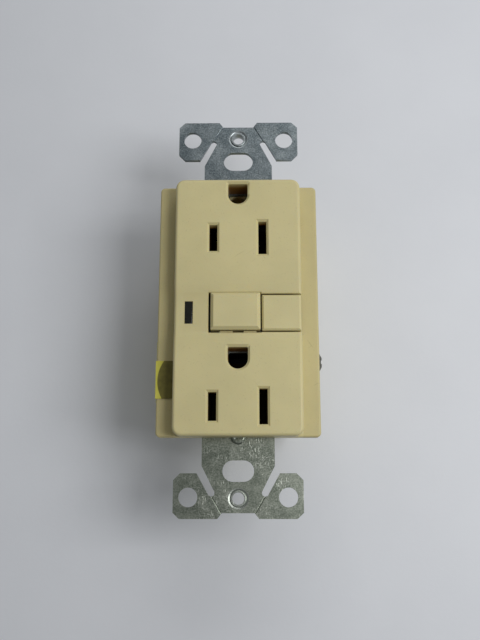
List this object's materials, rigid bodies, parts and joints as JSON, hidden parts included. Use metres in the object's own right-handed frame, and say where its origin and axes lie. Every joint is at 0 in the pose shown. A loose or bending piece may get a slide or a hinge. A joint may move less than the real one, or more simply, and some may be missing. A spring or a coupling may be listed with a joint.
{
  "type": "ground-fault receptacle",
  "caption": "Decorator-style duplex ground-fault receptacle with test and reset buttons, indicator window, side terminal screws and a steel mounting strap with plaster ears.",
  "frame": {"origin": "centre of the mounting strap, midway between its two box-screw slots, on the strap's back (mounting) plane", "axes": "+Z out of the face, +Y along the strap towards the end that the ground holes point to, +X to the right seen from the front. The device lies on its back."},
  "size_m": [0.044, 0.1066, 0.0413],
  "materials": {
    "cover_plastic": "ivory moulded nylon, satin",
    "body_plastic": "ivory moulded nylon, matte",
    "button_plastic": "ivory moulded nylon, satin",
    "inner_plastic": "black phenolic",
    "zinc_steel": "zinc plated, clear passivated",
    "brass": "dull rolled brass",
    "nickel_brass": "nickel plated brass",
    "brass_screw": "brass plated steel",
    "nickel_screw": "nickel plated steel, dull",
    "green_screw": "green dyed plating",
    "spring_steel": "drawn spring wire",
    "silver": "silver alloy",
    "copper_wire": "enamelled copper",
    "board": "glass epoxy laminate",
    "dark_epoxy": "moulded epoxy",
    "varistor_blue": "dipped epoxy",
    "capacitor_sleeve": "shrink sleeve",
    "film_red": "dipped epoxy",
    "resistor_tan": "lacquered",
    "lens_dark": "smoked acrylic",
    "led_epoxy": "tinted epoxy",
    "tape_yellow": "printed vinyl tape"
  },
  "bodies": {
    "receptacle": {"front_cover": "cover_plastic", "back_body": "body_plastic", "contact_carrier": "inner_plastic", "housing_screws": "zinc_steel", "mounting_strap": "zinc_steel", "ground_rivets": "zinc_steel", "upper_ground_contact": "brass", "lower_ground_contact": "brass", "ground_terminal": "zinc_steel", "load_terminal_tape": "tape_yellow", "reset_spring": "spring_steel", "test_post": "copper_wire", "indicator_lens": "lens_dark", "indicator_led": "led_epoxy", "line_hot_terminal": "brass", "line_neutral_terminal": "nickel_brass", "load_hot_terminal": "brass", "load_neutral_terminal": "nickel_brass", "hot_face_contact": "brass", "neutral_face_contact": "brass", "hot_fixed_tip": "silver", "neutral_fixed_tip": "silver", "opening_springs": "spring_steel", "solenoid_frame": "zinc_steel", "solenoid_bobbin": "inner_plastic", "solenoid_coil": "copper_wire", "plunger_spring": "spring_steel", "circuit_board": "board", "sensing_transformer": "copper_wire", "neutral_transformer": "copper_wire", "transformer_housing": "inner_plastic", "varistor": "varistor_blue", "smoothing_capacitor": "capacitor_sleeve", "film_capacitor": "film_red", "controller_chip": "dark_epoxy", "thyristor": "dark_epoxy", "resistors": "resistor_tan", "diode": "dark_epoxy"},
    "reset_control": {"reset_button": "button_plastic", "reset_pin": "spring_steel"},
    "test_control": {"test_button": "button_plastic"},
    "test_contact": {"test_leaf": "brass"},
    "trip_lifter": {"lifter": "inner_plastic", "latch_spring": "spring_steel"},
    "latch": {"latch_plate": "spring_steel"},
    "hot_arm": {"hot_contact_arm": "copper_wire", "hot_moving_tip": "silver"},
    "neutral_arm": {"neutral_contact_arm": "copper_wire", "neutral_moving_tip": "silver"},
    "trip_plunger": {"plunger": "spring_steel"},
    "ground_fastener": {"ground_screw": "green_screw"},
    "line_hot_fastener": {"line_hot_screw": "brass_screw"},
    "line_hot_wire_clamp": {"line_hot_clamp": "brass"},
    "line_neutral_fastener": {"line_neutral_screw": "nickel_screw"},
    "line_neutral_wire_clamp": {"line_neutral_clamp": "nickel_brass"},
    "load_hot_fastener": {"load_hot_screw": "brass_screw"},
    "load_hot_wire_clamp": {"load_hot_clamp": "brass"},
    "load_neutral_fastener": {"load_neutral_screw": "nickel_screw"},
    "load_neutral_wire_clamp": {"load_neutral_clamp": "nickel_brass"}
  },
  "joints": [
    {"name": "reset_press", "type": "slide", "parent": "receptacle", "child": "reset_control", "axis": [0, 0, -1], "range_m": [0, 0.0018], "stiffness_N_per_m": 1500, "springref_m": -0.0005, "deforming": ["reset_spring"]},
    {"name": "test_press", "type": "slide", "parent": "receptacle", "child": "test_control", "axis": [0, 0, -1], "range_m": [0, 0.0012], "stiffness_N_per_m": 800, "springref_m": -0.0004},
    {"name": "test_contact_bend", "type": "hinge", "parent": "receptacle", "child": "test_contact", "pos_m": [0.017, -0.0035, -0.0057], "axis": [0, -1, 0], "range_deg": [0, 13.75]},
    {"name": "lifter_rise", "type": "slide", "parent": "receptacle", "child": "trip_lifter", "axis": [0, 0, 1], "range_m": [0, 0.002], "stiffness_N_per_m": 300, "springref_m": -0.0008, "deforming": ["opening_springs"]},
    {"name": "hot_arm_lift", "type": "hinge", "parent": "receptacle", "child": "hot_arm", "pos_m": [-0.0104, 0.009, -0.01835], "axis": [-1, 0, 0], "range_deg": [0, 10.89]},
    {"name": "neutral_arm_lift", "type": "hinge", "parent": "receptacle", "child": "neutral_arm", "pos_m": [0.0092, 0.009, -0.01835], "axis": [-1, 0, 0], "range_deg": [0, 10.89]},
    {"name": "plunger_stroke", "type": "slide", "parent": "receptacle", "child": "trip_plunger", "axis": [0, 1, 0], "range_m": [0, 0.0012], "stiffness_N_per_m": 150, "springref_m": -0.001, "deforming": ["plunger_spring"]},
    {"name": "latch_slide", "type": "slide", "parent": "trip_lifter", "child": "latch", "axis": [0, 1, 0], "range_m": [0, 0.0012]},
    {"name": "ground_screw_turn", "type": "hinge", "parent": "receptacle", "child": "ground_fastener", "pos_m": [-0.0063, -0.0355, -0.0082], "axis": [1, 0, 0], "range_deg": [-1080, 0]},
    {"name": "line_hot_clamp_slide", "type": "slide", "parent": "receptacle", "child": "line_hot_wire_clamp", "axis": [-1, 0, 0], "range_m": [0, 0.00238]},
    {"name": "line_hot_screw_turn", "type": "hinge", "parent": "receptacle", "child": "line_hot_fastener", "pos_m": [-0.019, 0.0056, -0.0076], "axis": [1, 0, 0], "range_deg": [0, 1080.5]},
    {"name": "line_neutral_clamp_slide", "type": "slide", "parent": "receptacle", "child": "line_neutral_wire_clamp", "axis": [1, 0, 0], "range_m": [0, 0.00238]},
    {"name": "line_neutral_screw_turn", "type": "hinge", "parent": "receptacle", "child": "line_neutral_fastener", "pos_m": [0.019, 0.0056, -0.0076], "axis": [-1, 0, 0], "range_deg": [0, 1080.5]},
    {"name": "load_hot_clamp_slide", "type": "slide", "parent": "receptacle", "child": "load_hot_wire_clamp", "axis": [-1, 0, 0], "range_m": [0, 0.00238]},
    {"name": "load_hot_screw_turn", "type": "hinge", "parent": "receptacle", "child": "load_hot_fastener", "pos_m": [-0.019, -0.0129, -0.0076], "axis": [1, 0, 0], "range_deg": [0, 1080.5]},
    {"name": "load_neutral_clamp_slide", "type": "slide", "parent": "receptacle", "child": "load_neutral_wire_clamp", "axis": [1, 0, 0], "range_m": [0, 0.00238]},
    {"name": "load_neutral_screw_turn", "type": "hinge", "parent": "receptacle", "child": "load_neutral_fastener", "pos_m": [0.019, -0.0129, -0.0076], "axis": [-1, 0, 0], "range_deg": [0, 1080.5]}
  ],
  "couplings": [
    {"joint": "test_contact_bend", "follows": "test_press", "rad_per_m": 200},
    {"joint": "hot_arm_lift", "follows": "lifter_rise", "rad_per_m": 95},
    {"joint": "neutral_arm_lift", "follows": "lifter_rise", "rad_per_m": 95},
    {"joint": "latch_slide", "follows": "plunger_stroke", "ratio": 1},
    {"joint": "line_hot_screw_turn", "follows": "line_hot_clamp_slide", "rad_per_m": 7915.3},
    {"joint": "line_neutral_screw_turn", "follows": "line_neutral_clamp_slide", "rad_per_m": 7915.3},
    {"joint": "load_hot_screw_turn", "follows": "load_hot_clamp_slide", "rad_per_m": 7915.3},
    {"joint": "load_neutral_screw_turn", "follows": "load_neutral_clamp_slide", "rad_per_m": 7915.3}
  ]
}
